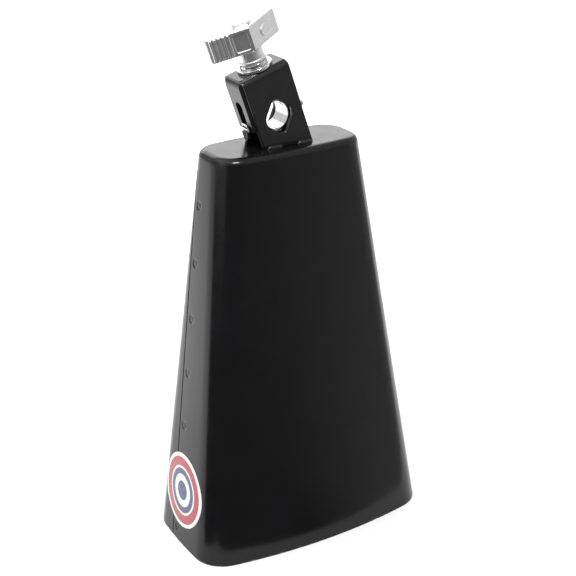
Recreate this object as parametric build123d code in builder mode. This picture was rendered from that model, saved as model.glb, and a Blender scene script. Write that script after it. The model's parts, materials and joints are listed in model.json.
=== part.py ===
"""Mountable cowbell: a lapped and spot-welded sheet steel bell with a leaning
bracket on its crown, an eye bolt riding inside the bracket and a wing nut on top.

Frame, millimetres: origin at the centre of the mouth, Z up the bell axis to the
crown, X along the wide faces, the front wide face looking along -Y.
"""
import os
from math import cos, radians, sin

from build123d import *

# ---- bell body -----------------------------------------------------------------
bell_length = 203.0                          # the 8 inch bell
mouth_width, mouth_depth = 131.0, 77.0
crown_width, crown_depth = 78.0, 37.0
mouth_face_bow, crown_face_bow = 7.5, 3.2    # how far the wide faces swell
mouth_end_bow, crown_end_bow = 1.6, 1.0      # how far the narrow ends swell
mouth_corner, crown_corner = 17.0, 13.0
shoulder_radius = 4.0                        # bend between crown and walls
sheet = 1.6                                  # 16 gauge steel with its paint
past_mouth = 5.0                             # how far cutting bodies run past the rim

# ---- lap seams and their spot welds ----------------------------------------------
seam_y = 8.0                 # cut edge of the front flanges on the narrow ends
seam_gap = 0.25
lap = 10.0                   # width of the flange tucked behind that edge
joggle = 2.5                 # length over which the rear sheet steps inward
skirt = 10.0                 # depth of the crown's skirt across the back
weld_line_y = 3.5
weld_radius, weld_dimple = 2.2, 0.45
weld_count, weld_first, weld_pitch = 7, 7.0, 28.4
back_weld_count, back_weld_pitch = 5, 13.0

# ---- mounting bracket --------------------------------------------------------------
lean = 17.5                  # degrees the bracket leans toward -X
bracket_height = 38.8        # crown to bracket top, along the leaning axis
bracket_width, bracket_depth = 27.6, 19.4
bracket_sheet, bend_radius = 2.5, 3.6
cheek_width = 25.0           # the two wide cheeks stand on the crown
tab_width, tab_reach = 14.0, 26.0            # the two narrow tabs stop short of it
slot_width, slot_top = 5.6, 11.5
window_half_width, window_half_height = 8.7, 9.8
window_side_radius, window_tip_radius = 5.0, 2.5
window_drop = 23.5           # bracket top to the middle of the diamond windows
stud_hole = 4.4
bead_radius, bead_length, bead_offset = 2.0, 5.0, 8.0

# ---- eye bolt ------------------------------------------------------------------------
rod_diameter = 12.7          # half inch mounting rod
eye_bore = rod_diameter / 2 + 0.1
eye_radius, eye_thickness, eye_rounding = 10.2, 12.0, 1.8
stud_radius, stud_chamfer = 4.0, 0.7         # M8 x 1.25
neck_radius, neck_start, neck_length = 5.6, 7.0, 3.2
ear_width, ear_height, ear_drop = 5.0, 4.6, 1.4
ear_head_width, ear_head_height, ear_head_thickness = 9.6, 3.0, 1.6
ear_head_gap = 0.5
hook_width, hook_length = 3.4, 4.2

# ---- washers and wing nut ----------------------------------------------------------------
washer_hole = 4.3
washer_radius, washer_thickness = 8.5, 1.6
spring_radius, spring_thickness, spring_split = 6.9, 2.0, 1.2
nut_gap, thread_clearance = 0.05, 0.05
hub_radius, hub_flange, hub_flange_height = 6.2, 6.7, 1.3
wing_bottom, wing_top = 9.5, 21.3            # above the bracket top
wing_half_span, wing_sweep = 19.6, 25.0      # sweep back in degrees
apex_front = 7.2             # hub axis to the front edge where the wings meet
wing_thickness, wing_tip_radius, wing_edge_radius = 6.6, 2.6, 0.8
rib_count, rib_start, rib_pitch, rib_radius = 5, 10.2, 2.1, 0.6
panel_start, panel_length, panel_height, panel_depth = 5.0, 7.0, 8.6, 0.5
pad_start, pad_length, pad_height, pad_rise = 11.5, 9.0, 5.5, 0.35
bore_countersink = 0.9
stud_recess = 1.0            # stud end below the top of the nut

# ---- badge ---------------------------------------------------------------------------------
badge_radius, badge_thickness, badge_height = 19.5, 0.25, 29.5

# Planes of the leaning bracket: facing a cheek, facing a tab, and its top.
tilt = radians(lean)
crown_centre = (0, 0, bell_length)
wide_way, lean_way = (cos(tilt), 0, sin(tilt)), (-sin(tilt), 0, cos(tilt))
facing_cheek = Plane(crown_centre, x_dir=wide_way, z_dir=(0, -1, 0))
facing_tab = Plane(crown_centre, x_dir=(0, 1, 0), z_dir=wide_way)
crown_deck = Plane(crown_centre, x_dir=wide_way, z_dir=lean_way)
bracket_top = crown_deck.offset(bracket_height)
eye_height = bracket_height - window_drop

os.makedirs("parts", exist_ok=True)


def between(mouth, crown, height):
    """Value at a height of something that runs evenly from mouth to crown."""
    return mouth + (crown - mouth) * height / bell_length


def half_width(height):
    return between(mouth_width, crown_width, height) / 2


def half_depth(height):
    return between(mouth_depth, crown_depth, height) / 2


def bell_section(height, inset):
    """Horizontal section of the bell: four shallow bows with rounded corners."""
    x, y = half_width(height) - inset, half_depth(height) - inset
    corner_x = x - between(mouth_end_bow, crown_end_bow, height)
    corner_y = y - between(mouth_face_bow, crown_face_bow, height)
    with BuildSketch(Plane.XY.offset(height)) as section:
        with BuildLine():
            ThreePointArc((-corner_x, -corner_y), (0, -y), (corner_x, -corner_y))
            ThreePointArc((corner_x, -corner_y), (x, 0), (corner_x, corner_y))
            ThreePointArc((corner_x, corner_y), (0, y), (-corner_x, corner_y))
            ThreePointArc((-corner_x, corner_y), (-x, 0), (-corner_x, -corner_y))
        make_face()
        fillet(section.vertices(), between(mouth_corner, crown_corner, height) - inset)
    return section.sketch


def bell_body(inset, foot=0.0):
    """Solid that fills the bell, shrunk by an inset, its foot below the mouth."""
    with BuildPart() as body:
        for height in (-foot, bell_length - inset):
            add(bell_section(height, inset))
        loft(ruled=True)
        fillet(body.faces().sort_by(Axis.Z)[-1].edges(), shoulder_radius - inset)
    return body.part


outside = bell_body(0)
inside = bell_body(sheet, foot=past_mouth)
lap_inside = bell_body(2 * sheet, foot=past_mouth)


def behind(start, top):
    """Block behind y = start and below z = top, for splitting front from rear."""
    with BuildPart() as block:
        with Locations((0, start, top)):
            Box(2 * mouth_width, mouth_depth, 2 * bell_length,
                align=(Align.CENTER, Align.MIN, Align.MAX))
    return block.part


# Places of the spot welds: down both narrow ends and across the back skirt.
weld_places = []
for side in (-1, 1):
    for index in range(weld_count):
        height = weld_first + index * weld_pitch
        weld_places.append(Plane((side * half_width(height), weld_line_y, height),
                                 x_dir=(0, 1, 0), z_dir=(side, 0, 0)))
for index in range(back_weld_count):
    height = bell_length - (shoulder_radius + skirt) / 2
    weld_places.append(Plane(((index - back_weld_count // 2) * back_weld_pitch,
                              half_depth(height), height),
                             x_dir=(1, 0, 0), z_dir=(0, 1, 0)))

with BuildPart() as weld_holes:
    with Locations(weld_places):
        Cylinder(weld_radius, 8 * sheet)

# Weld nuggets fuse both sheets and end in shallow dimples.
with BuildPart() as seam_spot_welds:
    add(weld_holes.part)
    add(bell_body(weld_dimple, foot=past_mouth), mode=Mode.INTERSECT)
    add(bell_body(2 * sheet - weld_dimple, foot=past_mouth), mode=Mode.SUBTRACT)
seam_spot_welds.part.label = "seam_spot_welds"
export_step(seam_spot_welds.part, "parts/seam_spot_welds.step")

# Front pressing: front face, outer flanges of the ends and the crown with its skirt.
with BuildPart() as front_shell:
    add(outside)
    add(inside, mode=Mode.SUBTRACT)
    add(behind(seam_y, bell_length - skirt), mode=Mode.SUBTRACT)
    add(weld_holes.part, mode=Mode.SUBTRACT)
front_shell.part.label = "front_shell"
export_step(front_shell.part, "parts/front_shell.step")

# Rear pressing: the back face, stepping inward into flanges behind the front's edges.
with BuildPart() as rear_flanges:
    add(behind(seam_y - lap, bell_length - shoulder_radius))
    add(behind(seam_y + joggle, bell_length - skirt - joggle), mode=Mode.SUBTRACT)
    add(inside, mode=Mode.INTERSECT)
    add(lap_inside, mode=Mode.SUBTRACT)
    split(bisect_by=Plane.XY, keep=Keep.TOP)

with BuildPart() as rear_shell:
    add(outside)
    add(inside, mode=Mode.SUBTRACT)
    add(behind(seam_y + seam_gap, bell_length - skirt - seam_gap), mode=Mode.INTERSECT)
    add(rear_flanges.part)
    add(weld_holes.part, mode=Mode.SUBTRACT)
rear_shell.part.label = "rear_shell"
export_step(rear_shell.part, "parts/rear_shell.step")


def folded_channel(plane, width, reach):
    """Inverted channel of bracket sheet on a plane, its two top bends rounded."""
    with BuildSketch(plane) as channel:
        with Locations((0, bracket_height)):
            Rectangle(width, reach, align=(Align.CENTER, Align.MAX))
        fillet(channel.vertices().group_by(Axis.Y)[-1], bend_radius)
        with Locations((0, bracket_height - bracket_sheet)):
            Rectangle(width - 2 * bracket_sheet, reach,
                      align=(Align.CENTER, Align.MAX), mode=Mode.SUBTRACT)
        inner_bends = channel.vertices().filter_by_position(
            Axis.Y, bracket_height - 1.1 * bracket_sheet, bracket_height - 0.9 * bracket_sheet)
        inner_bends = inner_bends.filter_by_position(
            Axis.X, -width / 2 + bracket_sheet / 2, width / 2 - bracket_sheet / 2)
        fillet(inner_bends, bend_radius - bracket_sheet)
    return channel.sketch


# Bracket: a cross-shaped blank folded down into two cheeks and two tabs.
with BuildPart() as mount_bracket:
    extrude(folded_channel(facing_tab, bracket_depth, 2 * bracket_height),
            amount=cheek_width / 2, both=True)
    extrude(folded_channel(facing_cheek, bracket_width, tab_reach),
            amount=tab_width / 2, both=True)
    split(bisect_by=Plane.XY.offset(bell_length), keep=Keep.TOP)
    with BuildSketch(facing_cheek) as window:
        with Locations((0, eye_height)):
            Polygon((window_half_width, 0), (0, window_half_height),
                    (-window_half_width, 0), (0, -window_half_height), align=None)
        across_corners = window.vertices().group_by(Axis.X)
        fillet(across_corners[0] + across_corners[-1], window_side_radius)
        up_corners = window.vertices().group_by(Axis.Y)
        fillet(up_corners[0] + up_corners[-1], window_tip_radius)
    extrude(amount=bracket_depth, both=True, mode=Mode.SUBTRACT)
    with BuildSketch(facing_tab) as slot:
        with Locations((0, bracket_height - slot_top)):
            Rectangle(slot_width, tab_reach, align=(Align.CENTER, Align.MAX))
        fillet(slot.vertices().group_by(Axis.Y)[-1], slot_width / 2 - 0.05)
    extrude(amount=bracket_width, both=True, mode=Mode.SUBTRACT)
    with BuildSketch(bracket_top):
        Circle(stud_hole)
    extrude(amount=-2 * bracket_sheet, mode=Mode.SUBTRACT)
mount_bracket.part.label = "mount_bracket"
export_step(mount_bracket.part, "parts/mount_bracket.step")

# Four short fillet welds hold the cheeks to the crown.
with BuildPart() as bracket_welds:
    for x in (-bead_offset, bead_offset):
        for y in (-bracket_depth / 2, bracket_depth / 2):
            with Locations((x, y, bell_length)):
                Cylinder(bead_radius, bead_length, rotation=(0, 90, 0))
            with Locations((x - bead_length / 2, y, bell_length),
                           (x + bead_length / 2, y, bell_length)):
                Sphere(bead_radius)
    with Locations((0, 0, bell_length)):
        Box(2 * bracket_width, bracket_depth, 2 * bracket_sheet, mode=Mode.SUBTRACT)
    split(bisect_by=Plane.XY.offset(bell_length), keep=Keep.TOP)
bracket_welds.part.label = "bracket_welds"
export_step(bracket_welds.part, "parts/bracket_welds.step")

# Eye bolt: a round eye across the bracket, a stud up its axis, ears out of the slots.
with BuildPart() as eye_bolt:
    with BuildSketch(facing_cheek):
        with Locations((0, eye_height)):
            Circle(eye_radius)
    extrude(amount=eye_thickness / 2, both=True)
    fillet(eye_bolt.edges().filter_by(GeomType.CIRCLE), eye_rounding)
    with BuildSketch(crown_deck.offset(eye_height + neck_start)):
        Circle(neck_radius)
    with BuildSketch(crown_deck.offset(eye_height + eye_radius + neck_length)):
        Circle(stud_radius)
    loft()
    with BuildSketch(crown_deck.offset(eye_height + neck_start)):
        Circle(stud_radius)
    extrude(amount=window_drop - neck_start + wing_top - stud_recess)
    chamfer(eye_bolt.faces().sort_by(Axis(crown_centre, lean_way))[-1].edges(), stud_chamfer)
    with BuildSketch(facing_tab):
        with Locations((0, eye_height - ear_drop)):
            Rectangle(ear_width, ear_height)
    extrude(amount=bracket_width / 2 + ear_head_gap, both=True)
    with BuildSketch(facing_tab.offset(bracket_width / 2 + ear_head_gap)):
        with Locations((0, eye_height - ear_drop)):
            RectangleRounded(ear_head_width, ear_head_height, ear_head_height / 2 - 0.1)
        with Locations((0, eye_height - ear_drop - hook_length / 2)):
            SlotOverall(hook_length + hook_width, hook_width, rotation=90)
    extrude(amount=ear_head_thickness)
    mirror(about=facing_tab)
    with BuildSketch(facing_cheek):
        with Locations((0, eye_height)):
            Circle(eye_bore)
    extrude(amount=eye_thickness, both=True, mode=Mode.SUBTRACT)
eye_bolt.part.label = "eye_bolt"
export_step(eye_bolt.part, "parts/eye_bolt.step")

# Flat washer and split spring washer on top of the bracket.
with BuildPart() as flat_washer:
    with BuildSketch(bracket_top):
        Circle(washer_radius)
        Circle(washer_hole, mode=Mode.SUBTRACT)
    extrude(amount=washer_thickness)
flat_washer.part.label = "flat_washer"
export_step(flat_washer.part, "parts/flat_washer.step")

with BuildPart() as spring_washer:
    with BuildSketch(bracket_top.offset(washer_thickness)):
        Circle(spring_radius)
        Circle(washer_hole, mode=Mode.SUBTRACT)
        with Locations((-spring_radius, 0)):
            Rectangle(spring_radius, spring_split, rotation=20, mode=Mode.SUBTRACT)
    extrude(amount=spring_thickness)
spring_washer.part.label = "spring_washer"
export_step(spring_washer.part, "parts/spring_washer.step")

# Wing nut: a flanged hub carrying two thick wings swept back into a shallow V.
sweep = radians(wing_sweep)
wing_reach = wing_half_span / cos(sweep)
nut_base = bracket_top.offset(washer_thickness + spring_thickness + nut_gap)
apex = (0, -apex_front)
tip_front = (wing_half_span, -apex_front + wing_reach * sin(sweep))
tip_back = (tip_front[0] - wing_thickness * sin(sweep),
            tip_front[1] + wing_thickness * cos(sweep))
notch = (0, -apex_front + wing_thickness / cos(sweep))
# planes on the front faces of the wings, from the apex at mid height
apex_middle = bracket_top.offset((wing_bottom + wing_top) / 2).from_local_coords((*apex, 0))
wide, back = Vector(*wide_way), Vector(0, 1, 0)
right_front = Plane(apex_middle, x_dir=wide * cos(sweep) + back * sin(sweep),
                    z_dir=wide * sin(sweep) - back * cos(sweep))
left_front = Plane(apex_middle, x_dir=wide * cos(sweep) - back * sin(sweep),
                   z_dir=-wide * sin(sweep) - back * cos(sweep))

with BuildPart() as wing_nut:
    with BuildSketch(bracket_top.offset(wing_bottom)) as wings:
        with BuildLine():
            Polyline(apex, tip_front, tip_back, notch,
                     (-tip_back[0], tip_back[1]), (-tip_front[0], tip_front[1]), close=True)
        make_face()
        tips = wings.vertices().filter_by(lambda corner: abs(corner.X) > wing_half_span / 2)
        fillet(tips, wing_tip_radius)
    extrude(amount=wing_top - wing_bottom)
    flat_faces = wing_nut.faces().sort_by(Axis(crown_centre, lean_way))
    fillet(flat_faces[0].edges() + flat_faces[-1].edges(), wing_edge_radius)
    with BuildSketch(nut_base):
        Circle(hub_radius)
    extrude(amount=wing_top - washer_thickness - spring_thickness - nut_gap)
    with BuildSketch(nut_base):
        Circle(hub_flange)
    extrude(amount=hub_flange_height)
    with BuildSketch(nut_base):
        Circle(stud_radius + thread_clearance)
    extrude(amount=wing_top, mode=Mode.SUBTRACT)
    hub_top = wing_nut.faces().sort_by(Axis(crown_centre, lean_way))[-1]
    chamfer(hub_top.inner_wires()[0].edges(), bore_countersink)
    # ribs and a sunk panel on the front of the left wing, a plain pad on the right
    with Locations([left_front.location * Location((-rib_start - i * rib_pitch, 0, 0),
                                                   (90, 0, 0)) for i in range(rib_count)]):
        Cylinder(rib_radius, wing_top - wing_bottom - 2 * wing_edge_radius)
    with BuildSketch(left_front):
        with Locations((-panel_start, 0)):
            RectangleRounded(panel_length, panel_height, 1)
    extrude(amount=-panel_depth, mode=Mode.SUBTRACT)
    with BuildSketch(right_front):
        with Locations((pad_start, 0)):
            Ellipse(pad_length / 2, pad_height / 2)
    extrude(amount=pad_rise)
wing_nut.part.label = "wing_nut"
export_step(wing_nut.part, "parts/wing_nut.step")

# Badge: a thin round sticker wrapped on the narrow end near the mouth.
with BuildPart() as badge:
    with Locations(Plane((-half_width(badge_height), 0, badge_height),
                         x_dir=(0, 1, 0), z_dir=(-1, 0, 0))):
        Cylinder(badge_radius, mouth_corner)
    add(bell_body(-badge_thickness), mode=Mode.INTERSECT)
    add(outside, mode=Mode.SUBTRACT)
badge.part.label = "badge"
export_step(badge.part, "parts/badge.step")
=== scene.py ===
"""Cowbell: the visible pieces, their materials, the studio and the camera.

Metres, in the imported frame: origin at the centre of the mouth, Z up the bell axis,
X along the wide faces, the front wide face looking along -Y.
"""
import json
import math

import bmesh
import bpy
import numpy as np
from mathutils import Matrix, Vector, noise


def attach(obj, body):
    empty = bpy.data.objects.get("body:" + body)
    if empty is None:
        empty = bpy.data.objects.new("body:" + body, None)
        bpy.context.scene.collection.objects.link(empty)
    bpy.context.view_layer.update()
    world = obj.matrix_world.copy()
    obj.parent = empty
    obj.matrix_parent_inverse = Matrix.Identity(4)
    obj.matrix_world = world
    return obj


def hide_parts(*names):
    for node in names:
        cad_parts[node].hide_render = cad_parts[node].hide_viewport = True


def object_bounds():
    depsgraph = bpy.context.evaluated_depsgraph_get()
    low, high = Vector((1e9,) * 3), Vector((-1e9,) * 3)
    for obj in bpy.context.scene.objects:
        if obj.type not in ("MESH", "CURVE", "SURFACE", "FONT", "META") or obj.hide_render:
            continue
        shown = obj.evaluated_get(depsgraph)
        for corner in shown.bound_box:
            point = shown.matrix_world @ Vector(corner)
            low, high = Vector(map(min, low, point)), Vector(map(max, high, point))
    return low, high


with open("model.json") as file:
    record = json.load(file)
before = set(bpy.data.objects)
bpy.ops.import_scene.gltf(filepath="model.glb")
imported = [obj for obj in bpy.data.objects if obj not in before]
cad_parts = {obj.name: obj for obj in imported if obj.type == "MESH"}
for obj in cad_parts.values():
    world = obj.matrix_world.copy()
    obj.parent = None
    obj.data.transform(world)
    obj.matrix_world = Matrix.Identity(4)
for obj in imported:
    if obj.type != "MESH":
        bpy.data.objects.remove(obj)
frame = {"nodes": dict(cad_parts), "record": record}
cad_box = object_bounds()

MM = 0.001
NOISE_SEED = 7                   # unseeded, noise_vector differs from run to run
noise.seed_set(NOISE_SEED)

# ---- bell body, the driving sizes of the frame ---------------------------------------
BELL_LENGTH = 203.0 * MM
MOUTH_WIDTH, MOUTH_DEPTH = 131.0 * MM, 77.0 * MM
CROWN_WIDTH, CROWN_DEPTH = 78.0 * MM, 37.0 * MM
MOUTH_FACE_BOW, CROWN_FACE_BOW = 7.5 * MM, 3.2 * MM
MOUTH_END_BOW, CROWN_END_BOW = 1.6 * MM, 1.0 * MM
MOUTH_CORNER, CROWN_CORNER = 17.0 * MM, 13.0 * MM
SHOULDER = 4.0 * MM
SHEET = 1.6 * MM
RIM_ROUND = 0.3 * MM             # how far the cut edges of the sheet are rounded
SHEET_WAVE = 0.05 * MM           # depth of the rolled sheet's slow waves
SHEET_WAVE_SCALE = 22.0          # waves per metre

# ---- lap seams and spot welds ----------------------------------------------------------
SEAM_Y = 8.0 * MM
LAP = 10.0 * MM
SEAM_GAP = 0.25 * MM
JOGGLE = 0.5 * MM
FLANGE_CLEARANCE = 0.04 * MM
SKIRT = 10.0 * MM
WELD_Y = 3.5 * MM
WELD_RADIUS, WELD_DIMPLE = 2.2 * MM, 0.45 * MM
WELD_COUNT, WELD_FIRST, WELD_PITCH = 7, 7.0 * MM, 28.4 * MM
BACK_WELD_COUNT, BACK_WELD_PITCH = 5, 13.0 * MM
BACK_WELD_HEIGHT = BELL_LENGTH - (SHOULDER + SKIRT) / 2
WELD_ZONE = 3.2 * MM             # half height of the finely divided band at a weld

# ---- bracket, eye bolt, washers and nut --------------------------------------------------
BRACKET_HEIGHT = 38.8 * MM
BRACKET_DEPTH = 19.4 * MM
BEAD_RADIUS, BEAD_LENGTH, BEAD_OFFSET = 2.0 * MM, 5.0 * MM, 8.0 * MM
STUD_RADIUS, THREAD_PITCH, THREAD_DEPTH = 3.98 * MM, 1.25 * MM, 0.62 * MM
STUD_FOOT, STUD_END = 27.0 * MM, 59.1 * MM   # above the crown, along the lean
STUD_CUT = 28.0 * MM
STUD_CHAMFER = 0.9 * MM
WASHER_HOLE = 4.3 * MM
WASHER_RADIUS, WASHER_THICKNESS = 8.5 * MM, 1.6 * MM
SPRING_RADIUS, SPRING_THICKNESS, SPRING_SPLIT = 6.9 * MM, 2.0 * MM, 1.2 * MM

# ---- badge ---------------------------------------------------------------------------------
BADGE_RADIUS, BADGE_THICKNESS, BADGE_HEIGHT = 19.5 * MM, 0.25 * MM, 29.5 * MM

# The lean of the bracket is the nut's own axis.
nut_joint = next(j for j in frame["record"]["behaviour"]["joints"] if j["name"] == "wing_nut_turn")
LEAN_WAY = Vector(nut_joint["axis"]).normalized()
CROWN_CENTRE = Vector((0, 0, BELL_LENGTH))
LEAN = math.atan2(-LEAN_WAY.x, LEAN_WAY.z)
# Stands a leaning piece upright with the crown's centre at the origin, and puts it back.
LEANED = Matrix.Translation(CROWN_CENTRE) @ Matrix.Rotation(-LEAN, 4, "Y")
UPRIGHT = LEANED.inverted()


# ======================================================================================
# Helpers
# ======================================================================================
def smooth_step(value, low=0.0, high=1.0):
    t = np.clip((value - low) / (high - low), 0, 1)
    return t * t * (3 - 2 * t)


def add_piece(name, mesh, body, node, slot, *materials):
    """A visible piece that rides on a body and stands for a CAD node."""
    piece = bpy.data.objects.new(name, mesh)
    bpy.context.scene.collection.objects.link(piece)
    for material in materials:
        mesh.materials.append(material)
    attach(piece, body)
    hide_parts(node)
    return piece


def mesh_from(bm, name, smooth=True):
    bmesh.ops.recalc_face_normals(bm, faces=bm.faces)
    mesh = bpy.data.meshes.new(name)
    bm.to_mesh(mesh)
    bm.free()
    mesh.polygons.foreach_set("use_smooth", [smooth] * len(mesh.polygons))
    return mesh


def round_edges(piece, width, angle=35, segments=3):
    """Rounds the sharp edges and keeps the flats flat."""
    bevel = piece.modifiers.new("rounded_edges", "BEVEL")
    bevel.width = width
    bevel.segments = segments
    bevel.limit_method = "ANGLE"
    bevel.angle_limit = math.radians(angle)
    bevel.use_clamp_overlap = False
    normals = piece.modifiers.new("flat_normals", "WEIGHTED_NORMAL")
    normals.keep_sharp = True


def remeshed(mesh, voxel, passes, factor=0.5):
    """An even, softly rounded skin over a closed mesh, as paint or plating leaves it."""
    helper = bpy.data.objects.new("remesh_helper", mesh)
    bpy.context.scene.collection.objects.link(helper)
    remesh = helper.modifiers.new("remesh", "REMESH")
    remesh.mode = "VOXEL"
    remesh.voxel_size = voxel
    remesh.adaptivity = 0.0
    soften = helper.modifiers.new("soften", "SMOOTH")
    soften.factor = factor
    soften.iterations = passes
    bpy.context.view_layer.update()
    graph = bpy.context.evaluated_depsgraph_get()
    result = bpy.data.meshes.new_from_object(helper.evaluated_get(graph))
    bpy.data.objects.remove(helper)
    result.polygons.foreach_set("use_smooth", [True] * len(result.polygons))
    return result


def cad_upright(node):
    """A node's own solid as a bmesh, stood upright with the crown's centre at the origin."""
    bm = bmesh.new()
    bm.from_mesh(frame["nodes"][node].data)
    bmesh.ops.transform(bm, matrix=UPRIGHT, verts=bm.verts)
    bmesh.ops.remove_doubles(bm, verts=bm.verts, dist=0.002 * MM)
    return bm


def bmesh_to_mesh(bm, name):
    mesh = bpy.data.meshes.new(name)
    bm.to_mesh(mesh)
    bm.free()
    return mesh


def lathe(bm, profile, segments, place=Matrix(), start=0.0, sweep=2 * math.pi, rise=0.0):
    """Turns a closed (radius, height) profile about Z, capped where it is not a full turn."""
    whole = sweep >= 2 * math.pi - 1e-9
    steps = segments if whole else segments + 1
    rings = []
    for step in range(steps):
        part = step / segments
        angle = start + sweep * part
        lift = rise * part
        across, along = math.cos(angle), math.sin(angle)
        rings.append([bm.verts.new(place @ Vector((r * across, r * along, z + lift)))
                      for r, z in profile])
    for step in range(segments):
        one, two = rings[step], rings[(step + 1) % steps]
        for i in range(len(profile)):
            j = (i + 1) % len(profile)
            bm.faces.new((one[i], two[i], two[j], one[j]))
    if not whole:
        bm.faces.new(rings[0])
        bm.faces.new(list(reversed(rings[-1])))


def rounded_ring_profile(inner, outer, low, high, rounding, steps=4):
    """Cross-section of a washer: a rectangle with rounded corners."""
    corners = [(outer - rounding, low + rounding, -90), (outer - rounding, high - rounding, 0),
               (inner + rounding, high - rounding, 90), (inner + rounding, low + rounding, 180)]
    profile = []
    for x, y, first in corners:
        for step in range(steps + 1):
            angle = math.radians(first + 90 * step / steps)
            profile.append((x + rounding * math.cos(angle), y + rounding * math.sin(angle)))
    return profile


# ======================================================================================
# Shape of the bell
# ======================================================================================
def between(mouth, crown, height):
    return mouth + (crown - mouth) * height / BELL_LENGTH


def half_width(height):
    return between(MOUTH_WIDTH, CROWN_WIDTH, height) / 2


def half_depth(height):
    return between(MOUTH_DEPTH, CROWN_DEPTH, height) / 2


def half_section(height, inset):
    """Right half of a section, front centre to back centre: x, y, normal angle, corner ends.

    The angle is that of the outward normal, from 0 at the front to pi at the back.
    """
    x, y = half_width(height) - inset, half_depth(height) - inset
    face_bow = between(MOUTH_FACE_BOW, CROWN_FACE_BOW, height)
    end_bow = between(MOUTH_END_BOW, CROWN_END_BOW, height)
    corner = between(MOUTH_CORNER, CROWN_CORNER, height) - inset
    face_radius = ((x - end_bow) ** 2 + face_bow ** 2) / (2 * face_bow)
    end_radius = ((y - face_bow) ** 2 + end_bow ** 2) / (2 * end_bow)
    face_centre = np.array((0, face_radius - y))
    end_centre = np.array((x - end_radius, 0))
    # the corner's centre lies on a circle inside each of the two bows
    apart = end_centre - face_centre
    distance = np.hypot(*apart)
    one, two = face_radius - corner, end_radius - corner
    along = (distance ** 2 + one ** 2 - two ** 2) / (2 * distance)
    aside = math.sqrt(one ** 2 - along ** 2)
    unit = apart / distance
    options = [face_centre + along * unit + sign * aside * np.array((-unit[1], unit[0]))
               for sign in (-1, 1)]
    centre = max(options, key=lambda point: point[0] - point[1])
    first = math.atan2(centre[0] - face_centre[0], face_centre[1] - centre[1])
    second = math.atan2(centre[0] - end_centre[0], end_centre[1] - centre[1])
    runs = ((0, first, face_centre, face_radius, 60),
            (first, second, centre, corner, 160),
            (second, math.pi - second, end_centre, end_radius, 160),
            (math.pi - second, math.pi - first, centre * (1, -1), corner, 160),
            (math.pi - first, math.pi, face_centre * (1, -1), face_radius, 60))
    angles, places = [], []
    for start, end, middle, radius, count in runs:
        angle = np.linspace(start, end, count + 1)[:-1]
        angles.append(angle)
        places.append(middle + radius * np.stack((np.sin(angle), -np.cos(angle)), axis=1))
    angles.append(np.array([math.pi]))
    places.append(np.array([[0, y]]))
    counts = runs[0][4], sum(r[4] for r in runs[:4])
    return np.concatenate(places), np.concatenate(angles), counts


# Stations round half a section: where each stretch ends, and its number of steps.
STRETCHES = (("front_bow", 30), (-LAP + SEAM_Y, 24), (WELD_Y - WELD_ZONE, 3),
             (WELD_Y + WELD_ZONE, 16), (SEAM_Y, 3), (SEAM_Y + SEAM_GAP + JOGGLE, 7),
             ("back_corner", 26), ("back_bow", 56))
STEPS = np.cumsum([0] + [count for _, count in STRETCHES])
LAP_STATION, SEAM_STATION, LAST_STATION = STEPS[2], STEPS[5], STEPS[-1]


def stations(height, inset):
    """x, y and outward normal at the stations of half a section."""
    places, angles, (front_end, back_start) = half_section(height, inset)
    length = np.concatenate(([0], np.cumsum(np.hypot(*np.diff(places, axis=0).T))))
    ends = {"front_bow": length[front_end], "back_corner": length[back_start],
            "back_bow": length[-1]}
    marks = [0] + [ends[key] if isinstance(key, str) else np.interp(key, places[:, 1], length)
                   for key, _ in STRETCHES]
    at = np.interp(np.arange(LAST_STATION + 1), STEPS, marks)
    angle = np.interp(at, length, angles)
    x, y = np.interp(at, length, places[:, 0]), np.interp(at, length, places[:, 1])
    return np.stack((x, y, np.sin(angle), -np.cos(angle)), axis=1)


def end_x(y, height, outside=0.0):
    """How far the narrow end stands from the middle at a y and height."""
    places, _, (front_end, back_start) = half_section(height, -outside)
    side = places[front_end:back_start]
    return float(np.interp(y, side[:, 1], side[:, 0]))


def face_y(x, height):
    """How far the wide face stands from the middle at an x and height."""
    places = half_section(height, 0)[0]
    back = places[places[:, 1] > 0][::-1]
    return float(np.interp(abs(x), back[:, 0], back[:, 1]))


weld_heights = [WELD_FIRST + i * WELD_PITCH for i in range(WELD_COUNT)]
back_weld_xs = [(i - BACK_WELD_COUNT // 2) * BACK_WELD_PITCH for i in range(BACK_WELD_COUNT)]
weld_points = [Vector((side * end_x(WELD_Y, z), WELD_Y, z))
               for side in (-1, 1) for z in weld_heights]
weld_points += [Vector((x, face_y(x, BACK_WELD_HEIGHT), BACK_WELD_HEIGHT)) for x in back_weld_xs]
weld_array = np.array(weld_points)


def press_depth(points):
    """Depth of the electrode dimples and slow waves at points on the bell."""
    nearest = np.full(len(points), 1.0)
    for place in weld_array:
        nearest = np.minimum(nearest, np.linalg.norm(points - place, axis=1))
    dimple = WELD_DIMPLE * (1 - smooth_step(nearest, 0.45 * WELD_RADIUS, 1.25 * WELD_RADIUS))
    waves = np.array([noise.noise(Vector(p) * SHEET_WAVE_SCALE) for p in points])
    return dimple, SHEET_WAVE * (0.5 + 0.5 * waves)


def wall_heights(top):
    """Row heights up the wall, close together at the welds and the seams."""
    rows = {0.0, 1.2 * MM}
    for z in weld_heights:
        rows |= set(np.linspace(z - WELD_ZONE, z + WELD_ZONE, 17))
    for z in np.arange(0, top, 2.2 * MM):
        if min(abs(z - w) for w in weld_heights) > WELD_ZONE + 0.8 * MM:
            rows.add(z)
    seam = BELL_LENGTH - SKIRT
    rows = {z for z in rows if z < seam - SEAM_GAP - 2 * JOGGLE}
    rows |= set(np.linspace(seam - SEAM_GAP - JOGGLE - 0.3 * MM, seam - SEAM_GAP, 7))
    rows |= set(np.linspace(seam, BELL_LENGTH - SHOULDER, 15))
    return sorted(z for z in rows if z <= top + 1e-9)


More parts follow.
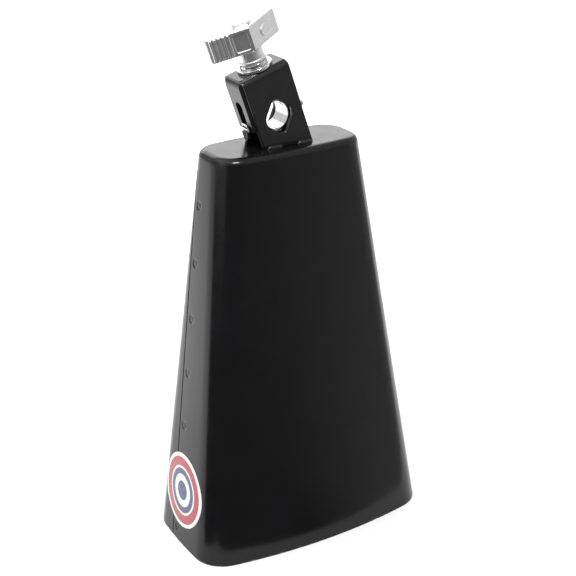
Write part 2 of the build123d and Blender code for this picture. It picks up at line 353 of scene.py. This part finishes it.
def sheet_mesh(name, outer, inner, cells):
    """Closed sheet from matching outer and inner points and the cells between them."""
    bm = bmesh.new()
    used = sorted({i for cell in cells for i in cell})
    number = {i: n for n, i in enumerate(used)}
    out = [bm.verts.new(outer[i]) for i in used]
    ins = [bm.verts.new(inner[i]) for i in used]
    for cell in cells:
        bm.faces.new([out[number[i]] for i in cell])
        bm.faces.new([ins[number[i]] for i in reversed(cell)])
    bm.verts.index_update()
    count = len(used)
    rims = [edge for edge in bm.edges
            if len(edge.link_faces) == 1 and max(v.index for v in edge.verts) < count]
    bm.verts.ensure_lookup_table()
    for edge in rims:
        one, two = edge.verts
        bm.faces.new((one, two, bm.verts[two.index + count], bm.verts[one.index + count]))
    return mesh_from(bm, name)


def whole_ring(half):
    """Stations all the way round, from the back centre by the left, front and right."""
    left = half[:0:-1] * (-1, 1, -1, 1)
    return np.concatenate((left, half))


RING = 2 * LAST_STATION            # stations in a closed ring; the two back centres are one
FRONT_CENTRE = LAST_STATION


def ring_index(row, column):
    return row * RING + column % RING


def build_front_shell(material):
    """Front pressing: the front face, its end flanges, the shoulder, the crown and skirt."""
    heights = wall_heights(BELL_LENGTH - SHOULDER)
    rows_out, rows_in = [], []
    for z in heights:
        ring = whole_ring(stations(z, 0))[:RING]
        points = np.column_stack((ring[:, :2], np.full(RING, z)))
        dimple, wave = press_depth(points)
        shift = np.column_stack((ring[:, 2:], np.zeros(RING)))
        rows_out.append(points - shift * (dimple + wave)[:, None])
        inner = whole_ring(stations(z, SHEET))[:RING]
        rows_in.append(np.column_stack((inner[:, :2], np.full(RING, z))))
    # shoulder bend: an arc about a centre one radius in from wall and crown
    top = whole_ring(stations(BELL_LENGTH, 0))[:RING]
    below = whole_ring(stations(BELL_LENGTH - MM, 0))[:RING]
    slope = np.arctan(((below - top)[:, :2] * top[:, 2:]).sum(axis=1) / MM)
    tangent = SHOULDER * np.tan(math.pi / 4 - slope / 2)
    for step in range(1, 11):
        angle = slope + (math.pi / 2 - slope) * step / 10
        for rows, radius in ((rows_out, SHOULDER), (rows_in, SHOULDER - SHEET)):
            out = -tangent + radius * np.cos(angle)
            z = BELL_LENGTH - SHOULDER + radius * np.sin(angle)
            rows.append(np.column_stack((top[:, 0] + top[:, 2] * out,
                                         top[:, 1] + top[:, 3] * out, z)))
    # crown: rings drawn in towards the middle line
    edge_out, edge_in = rows_out[-1].copy(), rows_in[-1].copy()
    for share in (0.985, 0.95, 0.88, 0.78, 0.66, 0.54, 0.42, 0.30, 0.18, 0.08):
        for rows, edge in ((rows_out, edge_out), (rows_in, edge_in)):
            rows.append(edge * (share, share, 1))
    outer, inner = np.concatenate(rows_out), np.concatenate(rows_in)
    skirt_row = heights.index(min(heights, key=lambda z: abs(z - (BELL_LENGTH - SKIRT))))
    cells = []
    for row in range(len(rows_out) - 1):
        whole = row >= skirt_row
        reach = LAST_STATION if whole else SEAM_STATION
        for column in range(FRONT_CENTRE - reach, FRONT_CENTRE + reach):
            cells.append((ring_index(row, column), ring_index(row, column + 1),
                          ring_index(row + 1, column + 1), ring_index(row + 1, column)))
    last = len(rows_out) - 1
    cells.append(tuple(ring_index(last, column) for column in range(RING)))
    piece = add_piece("front_pressing", sheet_mesh("front_pressing", outer, inner, cells),
                      "bell", "front_shell", "black_paint", material)
    round_edges(piece, RIM_ROUND, angle=50)


def build_rear_shell(material):
    """Rear pressing: the back face, stepping inward into flanges under the front's edges."""
    heights = wall_heights(BELL_LENGTH - SHOULDER)
    tucked = SHEET + FLANGE_CLEARANCE
    rows_out, rows_in = [], []
    for z in heights:
        wall, under = whole_ring(stations(z, 0))[:RING], whole_ring(stations(z, tucked))[:RING]
        wall_in = whole_ring(stations(z, SHEET))[:RING]
        under_in = whole_ring(stations(z, tucked + SHEET))[:RING]
        depth = np.minimum(wall[:, 1] - SEAM_Y - SEAM_GAP, BELL_LENGTH - SKIRT - SEAM_GAP - z)
        share = smooth_step(depth, -0.8 * SEAM_GAP, 0.6 * JOGGLE)[:, None]
        level = np.full(RING, z)
        flat = wall[:, :2] * share + under[:, :2] * (1 - share)
        flat_in = wall_in[:, :2] * share + under_in[:, :2] * (1 - share)
        points = np.column_stack((flat, level))
        wave = press_depth(points)[1]
        dimple = press_depth(np.column_stack((wall[:, :2], level)))[0]
        shift = np.column_stack((wall[:, 2:], np.zeros(RING)))
        rows_out.append(points - shift * wave[:, None])
        rows_in.append(np.column_stack((flat_in, level)) + shift * dimple[:, None])
    outer, inner = np.concatenate(rows_out), np.concatenate(rows_in)
    cells = []
    for row in range(len(heights) - 1):
        for column in range(FRONT_CENTRE + LAP_STATION, FRONT_CENTRE + RING - LAP_STATION):
            cells.append((ring_index(row, column), ring_index(row, column + 1),
                          ring_index(row + 1, column + 1), ring_index(row + 1, column)))
    piece = add_piece("rear_pressing", sheet_mesh("rear_pressing", outer, inner, cells),
                      "bell", "rear_shell", "black_paint", material)
    round_edges(piece, RIM_ROUND, angle=50)


def build_spot_welds(material):
    """The electrode marks: a small domed nugget at the bottom of every dimple."""
    bm = bmesh.new()
    profile = ((0.02, -1.0), (1.75, -1.0), (1.82, -0.50), (1.62, -0.36), (1.35, -0.27),
               (1.08, -0.31), (0.7, -0.24), (0.35, -0.20), (0.02, -0.19))
    profile = [(r * MM, z * MM) for r, z in profile]
    for place in weld_points:
        on_end = abs(place.z - BACK_WELD_HEIGHT) > MM
        if on_end:
            out = Vector((math.copysign(1, place.x), 0, 0.13))
        else:
            out = Vector((place.x, 60 * MM, 0))
        out.normalize()
        for way, depth in ((1, 0.0), (-1, 2 * SHEET + FLANGE_CLEARANCE)):
            turn = (out * way).to_track_quat("Z", "X").to_matrix().to_4x4()
            lathe(bm, profile, 28, Matrix.Translation(place - out * depth) @ turn)
    add_piece("spot_weld_marks", mesh_from(bm, "spot_weld_marks"), "bell", "seam_spot_welds",
              "black_paint", material)


# ======================================================================================
# Bracket and its welds
# ======================================================================================
def build_bracket(material):
    """The folded bracket with edges softened by stamping and paint."""
    mesh = bmesh_to_mesh(cad_upright("mount_bracket"), "bracket_solid")
    skin = remeshed(mesh, voxel=0.2 * MM, passes=9)
    skin.transform(LEANED)
    add_piece("folded_bracket", skin, "bell", "mount_bracket", "bracket_paint", material)


def build_bracket_welds(material):
    """Four short beads with the ripples of a pulsed weld."""
    bm = bmesh.new()
    along_steps, round_steps = 60, 28
    reach = BEAD_LENGTH / 2 + BEAD_RADIUS
    for x in (-BEAD_OFFSET, BEAD_OFFSET):
        for y in (-BRACKET_DEPTH / 2, BRACKET_DEPTH / 2):
            rings = []
            for i in range(along_steps + 1):
                t = -1 + 2 * i / along_steps
                past = max(0.0, abs(t) * reach - BEAD_LENGTH / 2) / BEAD_RADIUS
                swell = math.sqrt(max(0.0, 1 - past * past))
                ripple = 1 - 0.07 * (0.5 + 0.5 * math.cos(t * reach / (0.42 * MM)))
                radius = max(BEAD_RADIUS * swell * ripple, 0.02 * MM)
                ring = []
                for j in range(round_steps):
                    angle = 2 * math.pi * j / round_steps
                    # each ripple is a crescent, its middle pushed along the bead
                    slide = 0.35 * MM * math.sin(angle) * swell
                    point = Vector((x + t * (reach - 0.4 * MM) + slide,
                                    y + radius * math.cos(angle),
                                    BELL_LENGTH + radius * math.sin(angle)))
                    point += 0.06 * MM * noise.noise_vector(point * 900)
                    point.z = max(point.z, BELL_LENGTH - 0.7 * MM)
                    ring.append(bm.verts.new(point))
                rings.append(ring)
            for one, two in zip(rings, rings[1:]):
                for j in range(round_steps):
                    k = (j + 1) % round_steps
                    bm.faces.new((one[j], two[j], two[k], one[k]))
            bm.faces.new(rings[0])
            bm.faces.new(list(reversed(rings[-1])))
    add_piece("bracket_weld_beads", mesh_from(bm, "bracket_weld_beads"), "bell", "bracket_welds",
              "bracket_paint", material)


# ======================================================================================
# Eye bolt, washers and wing nut
# ======================================================================================
def build_eye_bolt(material):
    """The cast eye with its ears, and the cut thread of its stud."""
    bm = cad_upright("eye_bolt")
    cut = bmesh.ops.bisect_plane(bm, geom=bm.verts[:] + bm.edges[:] + bm.faces[:],
                                 plane_co=(0, 0, STUD_CUT), plane_no=(0, 0, 1), clear_outer=True)
    rim = [g for g in cut["geom_cut"] if isinstance(g, bmesh.types.BMEdge)]
    bmesh.ops.edgeloop_fill(bm, edges=rim)
    skin = remeshed(bmesh_to_mesh(bm, "eye_solid"), voxel=0.18 * MM, passes=7)
    skin.transform(LEANED)
    add_piece("clamp_eye", skin, "eye_bolt", "eye_bolt", "plated_steel", material)

    bm = bmesh.new()
    around, up = 48, int((STUD_END - STUD_FOOT) / (THREAD_PITCH / 10))
    rings = []
    for i in range(up + 1):
        z = STUD_FOOT + (STUD_END - STUD_FOOT) * i / up
        ring = []
        for j in range(around):
            angle = 2 * math.pi * j / around
            turn = (z / THREAD_PITCH - j / around) % 1
            cutting = min(1.0, max(0.0, abs(2 * turn - 1) * 1.35 - 0.15))
            limit = STUD_RADIUS - max(0.0, z - (STUD_END - STUD_CHAMFER))
            radius = min(STUD_RADIUS - THREAD_DEPTH * cutting, limit)
            ring.append(bm.verts.new((radius * math.cos(angle), radius * math.sin(angle), z)))
        rings.append(ring)
    for one, two in zip(rings, rings[1:]):
        for j in range(around):
            k = (j + 1) % around
            bm.faces.new((one[j], one[k], two[k], two[j]))
    bm.faces.new(list(reversed(rings[0])))
    bm.faces.new(rings[-1])
    mesh = mesh_from(bm, "stud_thread")
    mesh.transform(LEANED)
    piece = add_piece("stud_thread", mesh, "eye_bolt", "eye_bolt", "plated_steel", material)
    piece.data.set_sharp_from_angle(angle=math.radians(40))


def build_washers(flat_material, spring_material):
    """A stamped flat washer and a split spring washer, both with rounded edges."""
    bm = bmesh.new()
    profile = rounded_ring_profile(WASHER_HOLE, WASHER_RADIUS, BRACKET_HEIGHT,
                                   BRACKET_HEIGHT + WASHER_THICKNESS, 0.3 * MM)
    lathe(bm, profile, 128)
    mesh = mesh_from(bm, "flat_washer_ring")
    mesh.transform(LEANED)
    add_piece("flat_washer_ring", mesh, "bell", "flat_washer", "plated_steel", flat_material)

    bm = bmesh.new()
    low = BRACKET_HEIGHT + WASHER_THICKNESS
    rise = 0.25 * MM
    profile = rounded_ring_profile(WASHER_HOLE, SPRING_RADIUS, low, low + SPRING_THICKNESS - rise,
                                   0.25 * MM)
    gap = SPRING_SPLIT / SPRING_RADIUS
    lathe(bm, profile, 120, start=math.pi + gap / 2, sweep=2 * math.pi - gap, rise=rise)
    mesh = mesh_from(bm, "split_spring_washer")
    mesh.transform(LEANED)
    mesh.set_sharp_from_angle(angle=math.radians(60))
    add_piece("split_spring_washer", mesh, "bell", "spring_washer", "plated_steel",
              spring_material)


def build_wing_nut(material):
    """The cast nut, its edges and ribs softened by the mould and the plating."""
    mesh = bmesh_to_mesh(cad_upright("wing_nut"), "nut_solid")
    skin = remeshed(mesh, voxel=0.15 * MM, passes=6)
    skin.transform(LEANED)
    add_piece("cast_wing_nut", skin, "wing_nut", "wing_nut", "cast_chrome", material)


# ======================================================================================
# Badge
# ======================================================================================
def build_badge(*inks):
    """A round sticker of plain rings, laid over the narrow end."""
    # outer radius of each printed ring, as a share of the sticker, and its ink
    rings = ((0.26, 1), (0.44, 2), (0.60, 1), (0.66, 0), (0.90, 3), (1.0, 0))
    around = 160
    bm = bmesh.new()

    def on_end(radius, angle, lift):
        y, z = radius * math.cos(angle), BADGE_HEIGHT + radius * math.sin(angle)
        return bm.verts.new((-end_x(y, z) - lift, y, z))

    levels = [(0.0, 0)]
    for (outer, ink), inner in zip(rings, (0.0,) + tuple(r for r, _ in rings)):
        steps = max(2, round((outer - inner) / 0.06))
        levels += [(inner + (outer - inner) * (s + 1) / steps, ink) for s in range(steps)]
    radii = [(share * BADGE_RADIUS, ink) for share, ink in levels[1:]]
    # the cut edge is rounded over its last tenth of a millimetre
    radii[-1] = (BADGE_RADIUS - 0.12 * MM, 0)
    centre = on_end(0, 0, BADGE_THICKNESS)
    previous = None
    for radius, ink in radii:
        ring = [on_end(radius, 2 * math.pi * k / around, BADGE_THICKNESS) for k in range(around)]
        for k in range(around):
            j = (k + 1) % around
            if previous is None:
                face = bm.faces.new((centre, ring[k], ring[j]))
            else:
                face = bm.faces.new((previous[k], ring[k], ring[j], previous[j]))
            face.material_index = ink
        previous = ring
    for radius, lift in ((BADGE_RADIUS - 0.04 * MM, 0.8 * BADGE_THICKNESS),
                         (BADGE_RADIUS, 0.5 * BADGE_THICKNESS), (BADGE_RADIUS, -0.08 * MM)):
        ring = [on_end(radius, 2 * math.pi * k / around, lift) for k in range(around)]
        for k in range(around):
            j = (k + 1) % around
            bm.faces.new((previous[k], ring[k], ring[j], previous[j])).material_index = 0
        previous = ring
    under = on_end(0, 0, -0.08 * MM)
    for k in range(around):
        bm.faces.new((under, previous[(k + 1) % around], previous[k])).material_index = 0
    add_piece("ringed_badge", mesh_from(bm, "ringed_badge"), "bell", "badge", "sticker", *inks)


# ======================================================================================
# Materials
# ======================================================================================
class Surface:
    """A node material being put together, with the few nodes that these finishes need."""

    def __init__(self, name, base, roughness, metallic=0.0):
        self.material = bpy.data.materials.new(name)
        self.material.use_nodes = True
        self.nodes = self.material.node_tree.nodes
        self.links = self.material.node_tree.links
        self.shader = self.nodes["Principled BSDF"]
        self.shader.inputs["Base Color"].default_value = (*base, 1)
        self.shader.inputs["Roughness"].default_value = roughness
        self.shader.inputs["Metallic"].default_value = metallic
        self.material.diffuse_color = (*base, 1)
        self.place = self.nodes.new("ShaderNodeTexCoord").outputs["Object"]

    def noise(self, scale, detail=2.0, roughness=0.5):
        node = self.nodes.new("ShaderNodeTexNoise")
        node.inputs["Scale"].default_value = scale
        node.inputs["Detail"].default_value = detail
        node.inputs["Roughness"].default_value = roughness
        self.links.new(self.place, node.inputs["Vector"])
        return node.outputs["Fac"]

    def stretched_noise(self, scales, detail=2.0):
        mapping = self.nodes.new("ShaderNodeMapping")
        mapping.inputs["Scale"].default_value = scales
        self.links.new(self.place, mapping.inputs["Vector"])
        node = self.nodes.new("ShaderNodeTexNoise")
        node.inputs["Scale"].default_value = 1.0
        node.inputs["Detail"].default_value = detail
        self.links.new(mapping.outputs["Vector"], node.inputs["Vector"])
        return node.outputs["Fac"]

    def span(self, value, low, high, to_low=0.0, to_high=1.0):
        node = self.nodes.new("ShaderNodeMapRange")
        node.interpolation_type = "SMOOTHSTEP"
        for name, number in (("From Min", low), ("From Max", high), ("To Min", to_low),
                             ("To Max", to_high)):
            node.inputs[name].default_value = number
        self.links.new(value, node.inputs["Value"])
        return node.outputs["Result"]

    def math(self, operation, one, two):
        node = self.nodes.new("ShaderNodeMath")
        node.operation = operation
        for socket, value in zip(node.inputs, (one, two)):
            if isinstance(value, (int, float)):
                socket.default_value = value
            else:
                self.links.new(value, socket)
        return node.outputs["Value"]

    def height(self):
        node = self.nodes.new("ShaderNodeSeparateXYZ")
        self.links.new(self.place, node.inputs["Vector"])
        return node.outputs["Z"]

    def edges(self, low, high):
        """1 on convex edges, 0 on flats."""
        node = self.nodes.new("ShaderNodeNewGeometry")
        return self.span(node.outputs["Pointiness"], low, high)

    def tint(self, mask, one, two):
        node = self.nodes.new("ShaderNodeMix")
        node.data_type = "RGBA"
        self.links.new(mask, node.inputs["Factor"])
        for socket, colour in ((node.inputs[6], one), (node.inputs[7], two)):
            if isinstance(colour, tuple):
                socket.default_value = (*colour, 1)
            else:
                self.links.new(colour, socket)
        return node.outputs[2]

    def colour(self, value):
        self.links.new(value, self.shader.inputs["Base Color"])

    def rough(self, value):
        self.links.new(value, self.shader.inputs["Roughness"])

    def bump(self, value, distance, strength=1.0, under=None):
        node = self.nodes.new("ShaderNodeBump")
        node.inputs["Distance"].default_value = distance
        node.inputs["Strength"].default_value = strength
        self.links.new(value, node.inputs["Height"])
        if under is not None:
            self.links.new(under, node.inputs["Normal"])
        self.links.new(node.outputs["Normal"], self.shader.inputs["Normal"])
        return node.outputs["Normal"]


def bell_paint():
    """Satin gloss black enamel with orange peel, faint dust and a worn rim."""
    paint = Surface("bell_black_enamel", (0.004, 0.004, 0.0045), 0.2)
    paint.shader.inputs["Specular IOR Level"].default_value = 0.32
    cloud = paint.noise(45, 3)
    dust = paint.span(paint.noise(1400, 5, 0.7), 0.62, 0.78)
    base = paint.tint(cloud, (0.003, 0.003, 0.0033), (0.0055, 0.005, 0.006))
    base = paint.tint(paint.math("MULTIPLY", dust, 0.3), base, (0.05, 0.05, 0.05))
    # the rim that the bell stands on: paint rubbed thin in patches
    low = paint.span(paint.height(), 0.0001, 0.0011, 1.0, 0.0)
    patches = paint.span(paint.noise(260, 4, 0.6), 0.5, 0.62)
    wear = paint.math("MULTIPLY", low, patches)
    base = paint.tint(wear, base, (0.16, 0.155, 0.15))
    paint.colour(base)
    satin = paint.span(paint.noise(90, 4, 0.6), 0.25, 0.75, 0.17, 0.24)
    paint.rough(paint.math("ADD", satin, paint.math("MULTIPLY", wear, 0.2)))
    peel = paint.bump(paint.noise(420, 2, 0.4), 0.000022)
    paint.bump(paint.noise(2600, 2, 0.5), 0.000003, under=peel)
    return paint.material


def bracket_paint():
    """Thick gloss black on the bracket, thinned on its edges."""
    paint = Surface("bracket_gloss_black", (0.007, 0.006, 0.0065), 0.12)
    paint.shader.inputs["Specular IOR Level"].default_value = 0.45
    cloud = paint.noise(180, 3)
    base = paint.tint(cloud, (0.005, 0.0042, 0.0046), (0.010, 0.0088, 0.0094))
    rubbed = paint.math("MULTIPLY", paint.edges(0.53, 0.60),
                        paint.span(paint.noise(700, 4, 0.6), 0.45, 0.7))
    base = paint.tint(paint.math("MULTIPLY", rubbed, 0.5), base, (0.12, 0.12, 0.12))
    paint.colour(base)
    paint.rough(paint.span(paint.noise(260, 3), 0.3, 0.7, 0.09, 0.17))
    paint.bump(paint.noise(650, 2, 0.4), 0.000022)
    return paint.material


def plated_steel(name, brushed=False):
    """Bright plated steel with fine handling marks."""
    steel = Surface(name, (0.78, 0.78, 0.80), 0.12, metallic=1.0)
    grime = steel.span(steel.noise(500, 4, 0.6), 0.35, 0.7)
    steel.colour(steel.tint(grime, (0.70, 0.70, 0.72), (0.84, 0.84, 0.85)))
    steel.rough(steel.span(steel.noise(900, 4, 0.6), 0.3, 0.75, 0.07, 0.22))
    scales = (5200, 700, 5200) if brushed else (2400, 2400, 2400)
    steel.bump(steel.stretched_noise(scales), 0.000006)
    return steel.material


def cast_chrome():
    """Chrome over a die casting: soft ripples, and dirt with painted shade darkening the corners
    of the casting.
    """
    chrome = Surface("cast_chrome_satin", (0.62, 0.62, 0.63), 0.30, metallic=1.0)
    # painted shade with some dirt: the colour is darkened towards near black in the concave
    # corners and ribs of the casting
    crevice_dirt_and_shade = chrome.edges(0.49, 0.44)
    shade = chrome.tint(chrome.noise(420, 4, 0.6), (0.66, 0.66, 0.67), (0.84, 0.84, 0.85))
    chrome.colour(chrome.tint(chrome.math("MULTIPLY", crevice_dirt_and_shade, 0.7), shade, (0.12, 0.12, 0.125)))
    # the faces keep the grain of the mould, the edges and corners are rubbed bright
    grain = chrome.span(chrome.noise(900, 4, 0.6), 0.3, 0.75, 0.38, 0.50)
    polish = chrome.edges(0.50, 0.56)
    chrome.rough(chrome.math("SUBTRACT", grain, chrome.math("MULTIPLY", polish, 0.28)))
    ripple = chrome.bump(chrome.noise(360, 2, 0.4), 0.00006)
    chrome.bump(chrome.noise(2600, 3, 0.6), 0.000012, under=ripple)
    return chrome.material


def vinyl(name, base):
    """Printed vinyl under a clear film."""
    ink = Surface("vinyl_" + name, base, 0.22)
    darker = tuple(0.86 * c for c in base)
    ink.colour(ink.tint(ink.noise(900, 4, 0.6), darker, base))
    ink.rough(ink.span(ink.noise(400, 3), 0.3, 0.7, 0.17, 0.30))
    ink.bump(ink.noise(700, 3, 0.5), 0.000010)
    ink.shader.inputs["Coat Weight"].default_value = 0.4
    ink.shader.inputs["Coat Roughness"].default_value = 0.08
    return ink.material


# ======================================================================================
# Studio and camera
# ======================================================================================
def glow(name, base, radiance):
    """A stage surface that is also lit from within, as a shooting table is."""
    surface = Surface(name, base, 0.8)
    surface.shader.inputs["Specular IOR Level"].default_value = 0.0
    surface.shader.inputs["Emission Color"].default_value = (1, 1, 1, 1)
    surface.shader.inputs["Emission Strength"].default_value = radiance
    return surface


def stage_object(name, corners, faces, surface):
    mesh = bpy.data.meshes.new(name)
    mesh.from_pydata(corners, [], faces)
    mesh.materials.append(surface.material)
    thing = bpy.data.objects.new(name, mesh)
    bpy.context.scene.collection.objects.link(thing)
    return thing


def build_studio():
    """A pale lit table, a plain pale surround, soft lights and a dark card in front."""
    floor_z = cad_box[0].z
    reach = 40 * BELL_LENGTH
    table = glow("studio_table", (0.88, 0.88, 0.88), 0.5)
    away = table.nodes.new("ShaderNodeVectorMath")
    away.operation = "LENGTH"
    table.links.new(table.place, away.inputs[0])
    # glows all over, as if lit from below, but glows less near the bell: a painted shadow round
    # the bell, added to the shadow that the bell casts
    shadow_reach, lit_reach, shadow_glow, lit_glow = 0.08, 0.34, 0.04, 0.55
    table.links.new(table.span(away.outputs["Value"], shadow_reach, lit_reach,
                               shadow_glow, lit_glow),
                    table.shader.inputs["Emission Strength"])
    stage_object("studio_table", [(-reach, -reach, floor_z), (reach, -reach, floor_z),
                                  (reach, reach, floor_z), (-reach, reach, floor_z)],
                 [(0, 1, 2, 3)], table)

    world = bpy.data.worlds.new("studio_surround")
    world.use_nodes = True
    background = world.node_tree.nodes["Background"]
    background.inputs["Color"].default_value = (1.0, 1.0, 1.0, 1)
    background.inputs["Strength"].default_value = 0.72
    bpy.context.scene.world = world

    centre = (cad_box[0] + cad_box[1]) / 2
    # name, direction from the object, distance, width, height, radiance
    for name, way, distance, width, height, radiance in (
            ("overhead_softbox", (-0.55, 0.25, 1.0), 1.1, 0.9, 0.7, 1.3),
            ("back_softbox", (0.32, 0.80, 0.50), 1.2, 1.3, 0.75, 1.75),
            ("shoulder_light", (-0.16, -0.40, 0.90), 1.0, 0.30, 0.12, 60.0),
            ("side_softbox", (-1.0, -0.10, 0.55), 1.3, 0.5, 0.9, 1.0)):
        light = bpy.data.lights.new(name, "AREA")
        light.shape = "RECTANGLE"
        light.size, light.size_y = width, height
        light.energy = radiance * math.pi * width * height
        lamp = bpy.data.objects.new(name, light)
        way = Vector(way).normalized()
        lamp.location = centre + way * distance
        lamp.rotation_euler = way.to_track_quat("Z", "Y").to_euler()
        lamp.visible_camera = False
        bpy.context.scene.collection.objects.link(lamp)

    # a dark card, seen only as a reflection, keeps the front face deep black: it lies on the
    # table before and to the left of the bell, turns up into a wall, and is paler to the right
    card_surface = glow("dark_card", (0.0, 0.0, 0.0), 1.0)
    split = card_surface.nodes.new("ShaderNodeSeparateXYZ")
    card_surface.links.new(card_surface.place, split.inputs["Vector"])
    bearing = card_surface.math("ARCTAN2", split.outputs["X"],
                                card_surface.math("MULTIPLY", split.outputs["Y"], -1.0))
    left_bearing, right_bearing, left_tone, right_tone = -5, 60, 0.10, 0.55
    tone = card_surface.span(bearing, math.radians(left_bearing), math.radians(right_bearing),
                             left_tone, right_tone)
    card_surface.links.new(tone, card_surface.shader.inputs["Emission Strength"])
    low, wall, top, side = floor_z + 2 * MM, -1.3, 1.0, 2.2
    card = stage_object("dark_card",
                        [(-0.085, -0.048, low), (0.085, -0.048, low), (side, 0.30, low),
                         (side, wall, low), (-side, wall, low), (-side, 0.75, low),
                         (-0.085, -0.020, low), (side, wall, top), (-side, wall, top)],
                        [(0, 1, 2, 3, 4, 5, 6), (4, 3, 7, 8)], card_surface)
    card.visible_camera = False
    card.visible_diffuse = False
    card.visible_shadow = False
    bpy.context.scene.view_settings.view_transform = "Standard"


def build_camera():
    """A long lens looking down on the front and the left end, rolled very slightly."""
    azimuth, elevation, roll = (math.radians(a) for a in (-29.2, 23.2, -1.54))
    distance, lens = 0.635, 79.3
    aim = Vector((2.7 * MM, 0, 126.1 * MM))
    back = Vector((math.sin(azimuth) * math.cos(elevation),
                   -math.cos(azimuth) * math.cos(elevation),
                   math.sin(elevation)))
    level = Vector((math.cos(azimuth), math.sin(azimuth), 0))
    upward = back.cross(level)
    right = level * math.cos(roll) + upward * math.sin(roll)
    up = back.cross(right)
    data = bpy.data.cameras.new("camera")
    data.lens = lens
    data.sensor_width = 36.0
    data.clip_start, data.clip_end = 0.01, 50
    camera = bpy.data.objects.new("camera", data)
    turn = Matrix((right, up, back)).transposed().to_4x4()
    camera.matrix_world = Matrix.Translation(aim + back * distance) @ turn
    bpy.context.scene.collection.objects.link(camera)
    bpy.context.scene.camera = camera


# ======================================================================================
# Put together
# ======================================================================================
enamel = bell_paint()
gloss = bracket_paint()
build_front_shell(enamel)
build_rear_shell(enamel)
build_spot_welds(enamel)
build_bracket(gloss)
build_bracket_welds(gloss)
build_eye_bolt(plated_steel("plated_steel_cast"))
build_washers(plated_steel("plated_steel_turned", brushed=True),
              plated_steel("plated_steel_spring"))
build_wing_nut(cast_chrome())
build_badge(vinyl("white", (0.80, 0.80, 0.79)), vinyl("navy", (0.018, 0.030, 0.13)),
            vinyl("pale", (0.78, 0.78, 0.76)), vinyl("red", (0.40, 0.010, 0.018)))
build_studio()
build_camera()
